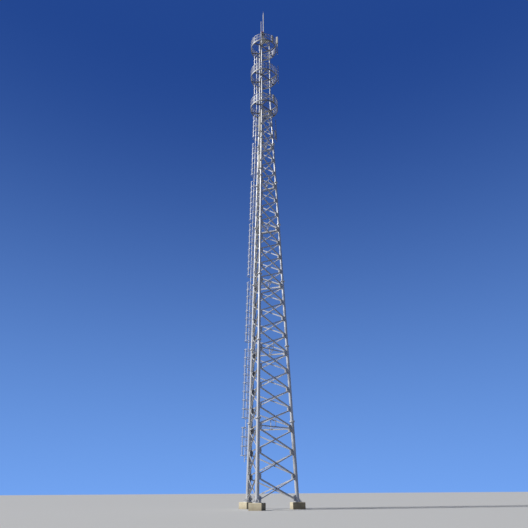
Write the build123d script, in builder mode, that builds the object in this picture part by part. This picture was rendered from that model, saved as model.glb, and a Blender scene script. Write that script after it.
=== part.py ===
from build123d import *
import math
import os

os.makedirs("parts", exist_ok=True)

# The real tower is 44.7 m tall, so the model is half of the real size.
# Every length below is the real one, in millimetres, taken times this number.
s = 0.5

# The three legs: distance from the tower's axis at the ground, and how far they lean in per metre
base_reach = s * 1952
lean = 0.0418
taper_top = s * 33000
shaft_reach = base_reach - lean * taper_top
shaft_top = s * 40600
leg_turns = [-90, 30, 150]

# Leg sections, from the ground up: flange heights and tube sizes across the flats.
# Tubes are drawn with twelve flats, so that one flat faces each side of the tower.
pedestal_height = s * 400
pedestal_width = s * 800
pedestal_edge = s * 20
flange_heights = [s * 5250, s * 10400, s * 15400, s * 20300, s * 24300, s * 28250]
tube_sizes = [s * 245, s * 219, s * 203, s * 180, s * 168, s * 152, s * 133]
tube_flats = 12
round_flats = 24
shaft_tube = s * 121
shaft_lip = s * 46
flange_thick = s * 34
flange_lip = s * 66
base_flange_size = s * 560
base_flange_thick = s * 30
rib_count = 8
rib_edge = s * 20
rib_height = s * 180
rib_thick = s * 14

# The bracing of the flat sides
levels = [s * 400, s * 4800, s * 9900, s * 15000, s * 19850, s * 23850, s * 27850, s * 31600]
panels = [3, 4, 4, 4, 3, 3, 3]
brace_width = s * 80
brace_thick = s * 8
plate_thick = s * 12
gusset_taper = 0.55
weld_gap = 0.05
brace_clear = s * 16
foot_clear = s * 54
level_clear = s * 30
# Plates on the legs, from the foot up: half height, reach from the tube, and how far above and
# below the plate's middle the bars point at the leg's axis
foot_node = s * 640
foot_half = s * 190
foot_reach_out = s * 210
foot_gap = s * 110
node_half = s * 200
node_reach = s * 180
node_gap = s * 60
level_half = s * 240
level_reach = s * 210
level_gap = s * 110
pad_size = s * 104
hanger_width = s * 50
middle_plate = s * 260
plan_width = s * 60
shaft_levels = [s * 33600, s * 34700, s * 36500, s * 38300, s * 40100]
shaft_bar_thick = s * 16

# The ladder on the left leg, and its safety cage
ladder_off = s * 220
ladder_half = s * 200
rail_width = s * 50
rail_thick = s * 10
rung_size = s * 22
rung_step = s * 300
ladder_bottom = s * 2800
ladder_rise = s * 300
hold_step = s * 1450
hold_width = s * 70
hold_thick = s * 10
cage_off = s * 360
cage_radius = s * 360
cage_flats = 8
strap_width = s * 40
strap_thick = s * 6
strap_count = 5
cage_spans = [
    (s * 3200, s * 5000, 4),
    (s * 5650, s * 10420, 9),
    (s * 11080, s * 15650, 9),
    (s * 16280, s * 20720, 9),
    (s * 21150, s * 24750, 8),
    (s * 25500, s * 28650, 7),
    (s * 29450, s * 31650, 5),
    (s * 34300, s * 35450, 3),
    (s * 38000, s * 39150, 3),
]

# The three round platforms and their railings
deck_heights = [s * 32000, s * 35700, s * 39400]
deck_radius = s * 1220
deck_depth = s * 80
deck_width = s * 60
arm_turn = 31
deck_clamp = s * 35
ring_flats = 12
rail_height = s * 780
rail_bar = s * 40
rail_depth = s * 24
rail_inset = s * 5
toe_height = s * 60
post_count = 6

# The pair of feeder cables inside the left leg, and the brackets that hold them
feeder_size = s * 28
feeder_gap = s * 1
feeder_reach = s * 244
feeder_bottom = s * 900
feeder_top = s * 39300
bracket_thick = s * 8
bracket_height = s * 50
bracket_step = s * 1300

# The antenna poles on the legs: leg, foot, top, two arms and distance out from the leg
pole_size = s * 60
arm_width = s * 50
arm_depth = s * 60
clamp_wall = s * 25
leg_poles = [
    (0, s * 24500, s * 26100, (s * 24850, s * 25700), s * 380),
    (0, s * 28300, s * 30200, (s * 28800, s * 29700), s * 380),
    (1, s * 28550, s * 30950, (s * 28800, s * 29700), s * 350),
]
deck_pole_reach = s * 1380
deck_pole_drop = s * 350
deck_pole_rise = s * 1900
deck_pole_turn = 30

# The panel antennas: side of its pole (-1 outward), foot, top, width and depth
panel_gap = s * 40
panel_edge = s * 24
panel_bracket = s * 60
leg_panels = [
    (-1, s * 24600, s * 25950, s * 200, s * 110),
    (-1, s * 28450, s * 30100, s * 200, s * 110),
    (1, s * 28920, s * 29640, s * 160, s * 90),
]
top_panel_low = s * 950
top_panel_width = s * 190
top_panel_depth = s * 100
rail_panel_width = s * 170
rail_panel_depth = s * 80
rail_panel_turn = -30

# The plate on the shaft with its lamp, lightning rod and whip antenna
top_lip = s * 60
top_thick = s * 20
rod_top = s * 44700
rod_foot_size = s * 220
rod_foot_thick = s * 20
rod_size = s * 90
rod_tip = s * 10
rod_tip_length = s * 500
lamp_reach = s * 280
lamp_size = s * 400
lamp_neck = s * 120
lamp_foot = s * 430
lamp_height = s * 330
lens_size = s * 160
lens_height = s * 140
whip_size = s * 60
whip_off = s * 120
whip_socket = s * 110
whip_socket_top = s * 41050
whip_drop = s * 350
whip_top = s * 42450

# The origin is the middle of the front pedestal's underside, and the tower's axis stands behind it
axis_y = base_reach - lean * pedestal_height
ground = Plane(origin=(0, axis_y, 0))
tower_axis = Axis((0, axis_y, 0), (0, 0, 1))

root3 = math.sqrt(3)
leg_tilt = math.atan(lean)
side_tilt = math.atan(lean / 2)


def reach(z):
    return base_reach - lean * min(z, taper_top)


def tube_radius(z):
    for top, size in zip(flange_heights, tube_sizes):
        if z < top:
            return size / 2
    return tube_sizes[-1] / 2 if z < taper_top else shaft_tube / 2


def heading(turn):
    """The level direction at this many degrees from the x axis."""
    return Vector(math.cos(math.radians(turn)), math.sin(math.radians(turn)), 0)


def leg_plane(turn):
    """The plane at a leg's foot: its z runs up the leaning tube, its y points to the axis."""
    along = heading(turn) * -math.sin(leg_tilt) + Vector(0, 0, math.cos(leg_tilt))
    return Plane(origin=ground.origin + heading(turn) * base_reach, x_dir=heading(turn + 90), z_dir=along)


def post_plane(turn):
    """The same for an upright tube of the shaft."""
    foot = ground.origin + heading(turn) * shaft_reach
    return Plane(origin=foot, x_dir=heading(turn + 90), z_dir=(0, 0, 1))


def up_leg(z):
    return z / math.cos(leg_tilt)


def round_tube(radius, mode=Mode.ADD):
    """A tube's outline, with a flat towards each side of the tower."""
    RegularPolygon(radius, tube_flats, major_radius=False, rotation=180 / tube_flats, mode=mode)


legs = [leg_plane(turn) for turn in leg_turns]
shafts = [post_plane(turn) for turn in leg_turns]

# The square concrete pedestals under the legs, set cornerwise to the tower
with BuildPart() as footings:
    for turn in leg_turns:
        with BuildSketch(ground):
            with PolarLocations(axis_y, 1, start_angle=turn):
                Rectangle(pedestal_width, pedestal_width)
        extrude(amount=pedestal_height)
    chamfer(footings.faces().sort_by(Axis.Z)[-3:].edges(), length=pedestal_edge)
footings.part.label = "footings"
export_step(footings.part, "parts/footings.step")

# The round base flanges, each with upright ribs against the tube
base_top = pedestal_height + base_flange_thick
foot_reach = base_reach - lean * base_top
with BuildPart() as base_flanges:
    for turn in leg_turns:
        with BuildSketch(ground.offset(pedestal_height)):
            with PolarLocations(foot_reach, 1, start_angle=turn):
                RegularPolygon(base_flange_size / 2, round_flats)
        extrude(amount=base_flange_thick)
        with BuildSketch(ground.offset(base_top)):
            with PolarLocations(foot_reach, 1, start_angle=turn):
                with PolarLocations((base_flange_size + tube_sizes[0]) / 4, rib_count):
                    Rectangle((base_flange_size - tube_sizes[0]) / 2 - rib_edge, rib_thick)
        extrude(amount=rib_height)
base_flanges.part.label = "base_flanges"
export_step(base_flanges.part, "parts/base_flanges.step")

# The leaning leg tubes, one set of three for each flanged section
bounds = [base_top] + flange_heights + [taper_top]
for number, size in enumerate(tube_sizes):
    low, high = bounds[number], bounds[number + 1]
    first = number == 0
    last = number == len(tube_sizes) - 1
    with BuildPart() as tubes:
        for leg in legs:
            start = up_leg(low) - (pedestal_height / 4 if first else 0)
            end = up_leg(high) + (pedestal_height / 4 if last else 0)
            with BuildSketch(leg.offset(start)):
                round_tube(size / 2)
            extrude(amount=end - start)
            if not first:
                with BuildSketch(leg.offset(start)):
                    round_tube(size / 2 + flange_lip)
                extrude(amount=flange_thick)
            if not last:
                with BuildSketch(leg.offset(end)):
                    round_tube(size / 2 + flange_lip)
                extrude(amount=-flange_thick)
        if first:
            split(bisect_by=Plane.XY.offset(low), keep=Keep.TOP)
        if last:
            split(bisect_by=Plane.XY.offset(high), keep=Keep.BOTTOM)
    tubes.part.label = f"legs_{number + 1}"
    export_step(tubes.part, f"parts/legs_{number + 1}.step")

# The upright tubes of the top, above the lean, each with a flange at the foot
with BuildPart() as shaft_tubes:
    for post in shafts:
        with BuildSketch(post.offset(taper_top)):
            round_tube(shaft_tube / 2)
        extrude(amount=shaft_top - taper_top)
        with BuildSketch(post.offset(taper_top)):
            round_tube(shaft_tube / 2 + shaft_lip)
        extrude(amount=flange_thick)
shaft_tubes.part.label = "shaft_tubes"
export_step(shaft_tubes.part, "parts/shaft_tubes.step")


# The flat sides: crossed angle bars bolted to both faces of plates on the legs
def side_plane(turn, tilt, out):
    """The plane that holds two legs' axes: x along the side, y up it, z outward."""
    normal = heading(turn) * math.cos(tilt) + Vector(0, 0, math.sin(tilt))
    return Plane(origin=ground.origin + heading(turn) * out, x_dir=heading(turn + 90), z_dir=normal)


def on_leg(z, hand):
    return Vector(hand * root3 / 2 * reach(z), z / math.cos(side_tilt))


def trimmed(start, end, low_clear, high_clear):
    """The middle, length and direction of a bar between two legs, cut so that the corners of its
    square ends stay this far from the legs' axes."""
    run = (end - start).normalized()
    corner = brace_width / 2 * abs(run.Y)
    a = start + run * ((low_clear + corner) / abs(run.X))
    b = end - run * ((high_clear + corner) / abs(run.X))
    return (a + b) * 0.5, (b - a).length, math.degrees(math.atan2(run.Y, run.X))


def crossing(a, b, c, d):
    r, q = b - a, d - c
    t = ((c.X - a.X) * q.Y - (c.Y - a.Y) * q.X) / (r.X * q.Y - r.Y * q.X)
    return a + r * t


def strip(middle, length, angle, width, shift):
    turned = Vector(-math.sin(math.radians(angle)), math.cos(math.radians(angle))) * shift
    with Locations(Location((middle.X + turned.X, middle.Y + turned.Y, 0), (0, 0, angle))):
        Rectangle(length, width)


rising, falling, level_bars, hangers, pads, gussets = [], [], [], [], [], []
for number, count in enumerate(panels):
    low, high = levels[number], levels[number + 1]
    for step in range(count):
        lowest = number == 0 and step == 0
        node = low + (high - low) * step / count
        if lowest:
            lower_gap, plate = foot_gap, (foot_node, foot_half, foot_reach_out)
        elif step == 0:
            lower_gap, plate = level_gap, (node, level_half, level_reach)
        else:
            lower_gap, plate = node_gap, (node, node_half, node_reach)
        gussets.append(plate)
        z0 = node + lower_gap
        z1 = low + (high - low) * (step + 1) / count - (level_gap if step == count - 1 else node_gap)
        clear0 = tube_radius(z0) + (foot_clear if lowest else brace_clear)
        clear1 = tube_radius(z1) + brace_clear
        rising.append(trimmed(on_leg(z0, -1), on_leg(z1, 1), clear0, clear1))
        falling.append(trimmed(on_leg(z0, 1), on_leg(z1, -1), clear0, clear1))
        middle = crossing(on_leg(z0, -1), on_leg(z1, 1), on_leg(z0, 1), on_leg(z1, -1))
        pads.append(middle)
        if step == 0 and number > 0:
            foot = low / math.cos(side_tilt)
            hangers.append((Vector(0, (middle.Y + foot) / 2), middle.Y - foot, 90))
    clear = tube_radius(high) + level_clear
    level_bars.append(trimmed(on_leg(high, -1), on_leg(high, 1), clear, clear))
gussets.append((levels[-1], level_half, level_reach))

front = side_plane(-30, side_tilt, base_reach / 2)
standing = (brace_width - brace_thick) / 2
with BuildPart() as side:
    # plates on the legs, small plates where the bars cross, and the hangers
    with BuildSketch(front.offset(-plate_thick / 2)):
        for hand in (-1, 1):
            up = (on_leg(taper_top, hand) - on_leg(0, hand)).normalized()
            inward = Vector(-hand * up.Y, hand * up.X)
            for z, half_length, width in gussets:
                edge = on_leg(z, hand) + inward * (tube_radius(z) + weld_gap)
                half = up * half_length
                with BuildLine():
                    Polyline(
                        edge - half,
                        edge + half,
                        edge + half * gusset_taper + inward * width,
                        edge - half * gusset_taper + inward * width,
                        close=True,
                    )
                make_face()
        for middle in pads:
            with Locations((middle.X, middle.Y)):
                Rectangle(pad_size, pad_size)
        for middle, length, angle in hangers:
            strip(middle, length, angle, hanger_width, 0)
        for middle, length, angle in level_bars:
            with Locations((middle.X, middle.Y)):
                Rectangle(middle_plate, brace_width)
    extrude(amount=plate_thick)
    # bars on the outer face: flat leg, then the leg that stands out
    with BuildSketch(front.offset(plate_thick / 2)):
        for middle, length, angle in rising + level_bars:
            strip(middle, length, angle, brace_width, 0)
    extrude(amount=brace_thick)
    with BuildSketch(front.offset(plate_thick / 2 + brace_thick)):
        for middle, length, angle in rising:
            strip(middle, length, angle, brace_thick, standing)
        for middle, length, angle in level_bars:
            strip(middle, length, angle, brace_thick, -standing)
    extrude(amount=brace_width - brace_thick)
    # bars on the inner face
    with BuildSketch(front.offset(-plate_thick / 2)):
        for middle, length, angle in falling:
            strip(middle, length, angle, brace_width, 0)
    extrude(amount=-brace_thick)
    with BuildSketch(front.offset(-plate_thick / 2 - brace_thick)):
        for middle, length, angle in falling:
            strip(middle, length, angle, brace_thick, standing)
    extrude(amount=-(brace_width - brace_thick))

for name, turn in (("side_front_right", 0), ("side_rear", 120), ("side_left", 240)):
    with BuildPart() as turned_side:
        add(side.part.rotate(tower_axis, turn))
    turned_side.part.label = name
    export_step(turned_side.part, f"parts/{name}.step")

# The flat triangles that tie the middles of the level bars
plan_clear = 0.2
with BuildPart() as plan_frames:
    for z in levels[1:]:
        corner = reach(z) / 2 - (plate_thick / 2 + plan_clear)
        with BuildSketch(ground.offset(z - brace_thick / 2)):
            RegularPolygon(corner, 3, rotation=-30)
            RegularPolygon(corner - plan_width * 2, 3, rotation=-30, mode=Mode.SUBTRACT)
        extrude(amount=brace_thick)
plan_frames.part.label = "plan_frames"
export_step(plan_frames.part, "parts/plan_frames.step")

# The level bars between the upright tubes of the shaft, on their flats
shaft_gap = root3 * shaft_reach
with BuildPart() as shaft_bars:
    for k in range(3):
        wall = side_plane(-30 + 120 * k, 0, shaft_reach / 2)
        with BuildSketch(wall.offset(-brace_width / 2)):
            for z in shaft_levels:
                with Locations((0, z)):
                    Rectangle(shaft_gap - shaft_tube / 2, shaft_bar_thick)
        extrude(amount=brace_width)
    for post in shafts:
        with BuildSketch(post.offset(taper_top)):
            round_tube(shaft_tube / 2)
        extrude(amount=shaft_top - taper_top, mode=Mode.SUBTRACT)
shaft_bars.part.label = "shaft_bars"
export_step(shaft_bars.part, "parts/shaft_bars.step")


def hoop_starts(low, high, count):
    """The undersides of the hoops in one length of the cage, measured up the leg."""
    start, end = (up_leg(low), up_leg(high)) if low < taper_top else (low, high)
    return [start + (end - start) / (count - 1) * step - strap_width / 2 for step in range(count)]


# The ladder up the outside of the left leg, its brackets to the tube and the tabs for the hoops
left_leg, left_post = legs[2], shafts[2]
cage_inner = cage_radius - strap_thick
ladder_edge = ladder_half + rail_thick / 2
with BuildPart() as ladder:
    for plane, low, high in (
        (left_leg, up_leg(ladder_bottom), up_leg(taper_top)),
        (left_post, taper_top + flange_thick, deck_heights[2] + ladder_rise),
    ):
        with BuildSketch(plane.offset(low)):
            with Locations((-ladder_half, -ladder_off), (ladder_half, -ladder_off)):
                Rectangle(rail_thick, rail_width)
        extrude(amount=high - low)
        across = Plane(
            origin=plane.from_local_coords(Vector(-ladder_half, -ladder_off, 0)),
            x_dir=plane.z_dir,
            z_dir=plane.x_dir,
        )
        rung_count = int((high - low - rung_step / 2) / rung_step)
        with BuildSketch(across):
            for step in range(rung_count):
                with Locations((low + rung_step * (step + 0.5), 0)):
                    Rectangle(rung_size, rung_size)
        extrude(amount=2 * ladder_half)
        hold_count = int((high - low - 2 * rung_step) / hold_step) + 1
        for step in range(hold_count):
            height = low + rung_step + hold_step * step
            with BuildSketch(plane.offset(height)):
                with Locations((0, -ladder_off / 2 - rail_width / 4)):
                    Rectangle(hold_width, ladder_off - rail_width / 2)
                with Locations((0, -ladder_off)):
                    Rectangle(2 * ladder_half, rail_width)
                round_tube(tube_radius(height), mode=Mode.SUBTRACT)
            extrude(amount=hold_thick)
        hoops = [
            start
            for span in cage_spans
            if (span[0] < taper_top) == (plane is left_leg)
            for start in hoop_starts(*span)
        ]
        with BuildSketch(*[plane.offset(start) for start in hoops]):
            for hand in (-1, 1):
                with Locations((hand * (cage_inner + ladder_edge) / 2, -ladder_off - strap_thick / 2)):
                    Rectangle(cage_inner - ladder_edge - 2 * weld_gap, strap_thick)
        extrude(amount=strap_width)
ladder.part.label = "ladder"
export_step(ladder.part, "parts/ladder.step")

# The safety cage, one length between each pair of flanges. A hoop is five flat lengths that meet
# end to end, open towards the ladder, and an upright strap runs up the middle of each.
hoop_length = 2 * (cage_inner * math.tan(math.pi / cage_flats) - weld_gap)
for number, (low, high, count) in enumerate(cage_spans):
    plane = left_leg if low < taper_top else left_post
    starts = hoop_starts(low, high, count)
    with BuildPart() as cage:
        with BuildSketch(*[plane.offset(start) for start in starts]):
            with Locations((0, -cage_off)):
                with PolarLocations(cage_radius - strap_thick / 2, strap_count, -180, 180, endpoint=True):
                    Rectangle(strap_thick, hoop_length)
        extrude(amount=strap_width)
        with BuildSketch(plane.offset(starts[0])):
            with Locations((0, -cage_off)):
                with PolarLocations(cage_inner - strap_thick / 2, strap_count, -180, 180, endpoint=True):
                    Rectangle(strap_thick, strap_width)
        extrude(amount=starts[-1] - starts[0] + strap_width)
    cage.part.label = f"cage_{number + 1}"
    export_step(cage.part, f"parts/cage_{number + 1}.step")


def ring(outer, width):
    """A level ring drawn with straight lengths, one of them square to each leg and each side."""
    for radius, mode in ((outer, Mode.ADD), (outer - width, Mode.SUBTRACT)):
        RegularPolygon(radius, ring_flats, major_radius=False, rotation=180 / ring_flats, mode=mode)


def inside_ring(radius):
    """Keeps what lies inside a ring."""
    RegularPolygon(
        radius, ring_flats, major_radius=False, rotation=180 / ring_flats, mode=Mode.INTERSECT
    )


# The platforms: a ring on two arms from each leg, and bars from leg to leg inside them. The bands
# of the railing are straight lengths that meet end to end over the ring's.
rail_outer = deck_radius - rail_inset
rail_length = 2 * ((rail_outer - rail_depth) * math.tan(math.pi / ring_flats) - weld_gap)
for number, z in enumerate(deck_heights):
    with BuildPart() as deck:
        with BuildSketch(ground.offset(z - deck_depth)):
            ring(deck_radius, deck_width)
        extrude(amount=deck_depth)
    deck.part.label = f"deck_{number + 1}"
    export_step(deck.part, f"parts/deck_{number + 1}.step")

    out = reach(z)
    with BuildPart() as deck_arms:
        with BuildSketch(ground.offset(z - deck_depth)):
            for turn in leg_turns:
                start = heading(turn) * out
                for hand in (-1, 1):
                    end = heading(turn + hand * arm_turn) * deck_radius
                    middle, run = (start + end) * 0.5, end - start
                    strip(middle, run.length, math.degrees(math.atan2(run.Y, run.X)), deck_width, 0)
                beside = heading(turn + 60) * (out - deck_width) * 0.5
                strip(beside, root3 * out, turn + 150, deck_width, 0)
            # a clamp round each leg, and the arms end at the ring
            with PolarLocations(out, 3, start_angle=30):
                round_tube(tube_radius(z) + deck_clamp)
            inside_ring(deck_radius - deck_width)
        extrude(amount=deck_depth)
        for leg, post in zip(legs, shafts):
            plane, low = (leg, up_leg(z - 2 * deck_depth)) if z < taper_top else (post, z - 2 * deck_depth)
            with BuildSketch(plane.offset(low)):
                round_tube(tube_radius(z))
            extrude(amount=3 * deck_depth, mode=Mode.SUBTRACT)
    deck_arms.part.label = f"deck_arms_{number + 1}"
    export_step(deck_arms.part, f"parts/deck_arms_{number + 1}.step")

    with BuildPart() as railing:
        for height, bar in ((0, toe_height), (rail_height / 2, rail_bar), (rail_height - rail_bar, rail_bar)):
            with BuildSketch(ground.offset(z + height)):
                with PolarLocations(rail_outer - rail_depth / 2, ring_flats):
                    Rectangle(rail_depth, rail_length)
            extrude(amount=bar)
        with BuildSketch(ground.offset(z)):
            with PolarLocations(rail_outer - rail_depth, post_count):
                Rectangle(rail_bar, rail_bar)
        extrude(amount=rail_height)
    railing.part.label = f"railing_{number + 1}"
    export_step(railing.part, f"parts/railing_{number + 1}.step")

# The pair of feeder cables inside the left leg, bent once where the legs stop leaning
feeder_side = (bracket_thick + feeder_size) / 2 + feeder_gap
bend_scale = math.cos(leg_tilt)
with BuildPart() as feeder_cables:
    for hand in (-1, 1):
        x, y = hand * feeder_side, feeder_reach
        start = left_leg.from_local_coords(Vector(x, y, up_leg(feeder_bottom)))
        bend = left_post.from_local_coords(Vector(x, y / bend_scale, taper_top))
        end = left_post.from_local_coords(Vector(x, y / bend_scale, feeder_top))
        with BuildLine():
            Polyline(start, bend, end)
        with BuildSketch(Plane(origin=start, x_dir=left_leg.x_dir, z_dir=bend - start)):
            RegularPolygon(feeder_size / 2, 8, major_radius=False, rotation=22.5)
        sweep(transition=Transition.RIGHT)
feeder_cables.part.label = "feeder_cables"
export_step(feeder_cables.part, "parts/feeder_cables.step")

# A bracket midway between the plates on the leg, and every so often up the shaft: a stem between
# the cables and a crosspiece behind them
leaning_spots = [
    up_leg(low + (high - low) * (step + 0.5) / count)
    for low, high, count in zip(levels, levels[1:], panels)
    for step in range(count)
]
upright_count = int((feeder_top - taper_top) / bracket_step)
upright_spots = [taper_top + bracket_step * (step + 0.5) for step in range(upright_count)]
with BuildPart() as cable_brackets:
    for plane, spots, rise, spread in (
        (left_leg, leaning_spots, bend_scale, 1),
        (left_post, upright_spots, 1, 1 / bend_scale),
    ):
        for height in spots:
            tube = tube_radius(height * rise)
            cross = (feeder_reach + feeder_size / 2) * spread
            with BuildSketch(plane.offset(height)):
                with Locations((0, (tube + cross) / 2)):
                    Rectangle(bracket_thick, cross - tube)
                with Locations((0, cross + bracket_thick / 2)):
                    Rectangle(2 * feeder_side + feeder_size, bracket_thick)
            extrude(amount=bracket_height)
cable_brackets.part.label = "cable_brackets"
export_step(cable_brackets.part, "parts/cable_brackets.step")

# The antenna poles: on the legs with two clamps each, and on the upper platforms
pole_spot = heading(deck_pole_turn) * deck_pole_reach
with BuildPart() as antenna_poles:
    for leg_number, low, high, arms, out in leg_poles:
        leg = legs[leg_number]
        with BuildSketch(leg.offset(up_leg(low))):
            with Locations((0, -out)):
                RegularPolygon(pole_size / 2, 8, major_radius=False, rotation=22.5)
        extrude(amount=up_leg(high - low))
        for z in arms:
            with BuildSketch(leg.offset(up_leg(z))):
                round_tube(tube_radius(z) + clamp_wall)
                with Locations((0, -out / 2)):
                    Rectangle(arm_width, out)
                round_tube(tube_radius(z), mode=Mode.SUBTRACT)
            extrude(amount=arm_depth)
    for z in deck_heights[1:]:
        with BuildSketch(ground.offset(z - deck_pole_drop)):
            with Locations((pole_spot.X, pole_spot.Y)):
                RegularPolygon(pole_size / 2, 8, major_radius=False, rotation=22.5)
        extrude(amount=deck_pole_drop + deck_pole_rise)
        for height, edge in ((z - deck_depth, deck_radius), (z + rail_height - arm_depth, rail_outer)):
            with BuildSketch(ground.offset(height)):
                with PolarLocations((edge + deck_pole_reach) / 2, 1, start_angle=deck_pole_turn):
                    Rectangle(deck_pole_reach - edge, arm_width)
            extrude(amount=arm_depth)
antenna_poles.part.label = "antenna_poles"
export_step(antenna_poles.part, "parts/antenna_poles.step")

# The panel antennas, each on two short brackets in front of its pole
with BuildPart() as antenna_panels:
    for (hand, low, high, width, depth), (leg_number, _, _, _, out) in zip(leg_panels, leg_poles):
        leg = legs[leg_number]
        near = -out + hand * pole_size / 2
        with BuildSketch(leg.offset(up_leg(low))):
            with Locations((0, near + hand * (panel_gap + depth / 2))):
                Rectangle(width, depth)
            chamfer(vertices(), panel_edge)
        extrude(amount=high - low)
        for z in (low + panel_bracket * 2, high - panel_bracket * 3):
            with BuildSketch(leg.offset(up_leg(z))):
                with Locations((0, near + hand * panel_gap / 2)):
                    Rectangle(panel_bracket, panel_gap)
            extrude(amount=panel_bracket)
    # the one on the top platform faces the front
    low = deck_heights[2] + top_panel_low
    height = deck_pole_rise - top_panel_low
    near = pole_spot.Y - pole_size / 2
    with BuildSketch(ground.offset(low)):
        with Locations((pole_spot.X, near - panel_gap - top_panel_depth / 2)):
            Rectangle(top_panel_width, top_panel_depth)
        chamfer(vertices(), panel_edge)
    extrude(amount=height)
    for z in (low + panel_bracket * 2, low + height - panel_bracket * 3):
        with BuildSketch(ground.offset(z)):
            with Locations((pole_spot.X, near - panel_gap / 2)):
                Rectangle(panel_bracket, panel_gap)
        extrude(amount=panel_bracket)
antenna_panels.part.label = "antenna_panels"
export_step(antenna_panels.part, "parts/antenna_panels.step")

# The small panels on the railings of the lowest and the highest platform
with BuildPart() as railing_panels:
    for z in (deck_heights[0], deck_heights[2]):
        with BuildSketch(ground.offset(z)):
            with PolarLocations(rail_outer + rail_panel_depth / 2, 1, start_angle=rail_panel_turn):
                Rectangle(rail_panel_depth, rail_panel_width)
        extrude(amount=rail_height)
railing_panels.part.label = "railing_panels"
export_step(railing_panels.part, "parts/railing_panels.step")

# The triangular plate on top of the shaft
plate_top = shaft_top + top_thick
with BuildPart() as top_plate:
    with BuildSketch(ground.offset(shaft_top)):
        RegularPolygon(shaft_reach + top_lip, 3, rotation=30)
    extrude(amount=top_thick)
top_plate.part.label = "top_plate"
export_step(top_plate.part, "parts/top_plate.step")

# The lightning rod: a foot plate, a long tube and a pointed tip
with BuildPart() as lightning_rod:
    with BuildSketch(ground.offset(plate_top)):
        Rectangle(rod_foot_size, rod_foot_size)
    extrude(amount=rod_foot_thick)
    with BuildSketch(ground.offset(plate_top + rod_foot_thick)):
        RegularPolygon(rod_size / 2, tube_flats)
    extrude(amount=rod_top - rod_tip_length - plate_top - rod_foot_thick)
    with BuildSketch(ground.offset(rod_top - rod_tip_length)):
        RegularPolygon(rod_size / 2, tube_flats)
    with BuildSketch(ground.offset(rod_top)):
        RegularPolygon(rod_tip / 2, tube_flats)
    loft()
lightning_rod.part.label = "lightning_rod"
export_step(lightning_rod.part, "parts/lightning_rod.step")

# The warning lamp: a dark drum on a neck, with a red lens on top
lamp_base = plate_top + lamp_foot
with BuildPart() as lamp_body:
    with BuildSketch(ground.offset(plate_top)):
        with Locations((0, -lamp_reach)):
            RegularPolygon(lamp_neck / 2, tube_flats)
    extrude(amount=lamp_foot)
    with BuildSketch(ground.offset(lamp_base)):
        with Locations((0, -lamp_reach)):
            RegularPolygon(lamp_size / 2, round_flats)
    extrude(amount=lamp_height)
lamp_body.part.label = "lamp_body"
export_step(lamp_body.part, "parts/lamp_body.step")

with BuildPart() as lamp_lens:
    with BuildSketch(ground.offset(lamp_base + lamp_height)):
        with Locations((0, -lamp_reach)):
            RegularPolygon(lens_size / 2, round_flats)
    extrude(amount=lens_height)
    chamfer(lamp_lens.faces().sort_by(Axis.Z)[-1].edges(), length=lens_size / 5)
lamp_lens.part.label = "lamp_lens"
export_step(lamp_lens.part, "parts/lamp_lens.step")

# The whip antenna in its socket, clamped to the front tube of the shaft
front_post = shafts[0]
whip_foot = shaft_top - whip_drop
with BuildPart() as whip_antenna:
    for size, low, high in (
        (whip_socket, whip_foot, whip_socket_top),
        (whip_size, whip_socket_top, whip_top),
    ):
        with BuildSketch(front_post.offset(low)):
            with Locations((0, -whip_off)):
                RegularPolygon(size / 2, 8, major_radius=False, rotation=22.5)
        extrude(amount=high - low)
    for height in (whip_foot, shaft_top - whip_drop / 2):
        with BuildSketch(front_post.offset(height)):
            with Locations((0, -(whip_off + shaft_tube / 2) / 2)):
                Rectangle(arm_width, whip_off - shaft_tube / 2)
        extrude(amount=arm_depth)
whip_antenna.part.label = "whip_antenna"
export_step(whip_antenna.part, "parts/whip_antenna.step")
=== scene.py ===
import math

import bmesh
import bpy
from mathutils import Matrix, Vector


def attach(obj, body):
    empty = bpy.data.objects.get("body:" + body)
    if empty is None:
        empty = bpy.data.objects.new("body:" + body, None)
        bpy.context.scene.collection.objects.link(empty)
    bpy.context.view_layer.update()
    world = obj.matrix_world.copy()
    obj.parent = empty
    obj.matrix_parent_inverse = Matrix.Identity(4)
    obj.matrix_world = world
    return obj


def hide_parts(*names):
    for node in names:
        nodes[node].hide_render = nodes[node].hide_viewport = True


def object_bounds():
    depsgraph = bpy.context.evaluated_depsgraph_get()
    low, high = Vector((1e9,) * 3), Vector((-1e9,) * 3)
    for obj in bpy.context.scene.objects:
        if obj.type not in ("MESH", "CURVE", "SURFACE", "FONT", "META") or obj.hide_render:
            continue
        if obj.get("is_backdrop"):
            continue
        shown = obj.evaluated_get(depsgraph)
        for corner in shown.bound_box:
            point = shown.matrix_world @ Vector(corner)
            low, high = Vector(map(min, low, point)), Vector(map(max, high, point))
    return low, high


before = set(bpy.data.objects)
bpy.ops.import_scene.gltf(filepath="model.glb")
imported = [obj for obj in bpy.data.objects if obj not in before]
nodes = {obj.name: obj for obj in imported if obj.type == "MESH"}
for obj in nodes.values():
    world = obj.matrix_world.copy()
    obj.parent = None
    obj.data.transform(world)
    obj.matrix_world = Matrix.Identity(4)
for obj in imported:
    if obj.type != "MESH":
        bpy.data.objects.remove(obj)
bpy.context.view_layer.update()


# Concrete pedestals: three square blocks of cast concrete, one under each leg. They are cream
# coloured, with pits and cement bloom, and darker at the foot, where rain splashes dirt up.
def effect(name, inputs, outputs):
    """An empty shader group with named sockets, and its two end nodes."""
    tree = bpy.data.node_groups.new(name, "ShaderNodeTree")
    for label, kind, value in inputs:
        socket = tree.interface.new_socket(label, in_out="INPUT", socket_type=kind)
        if value is not None:
            socket.default_value = value
    for label, kind in outputs:
        tree.interface.new_socket(label, in_out="OUTPUT", socket_type=kind)
    return tree, tree.nodes.new("NodeGroupInput"), tree.nodes.new("NodeGroupOutput")


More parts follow.
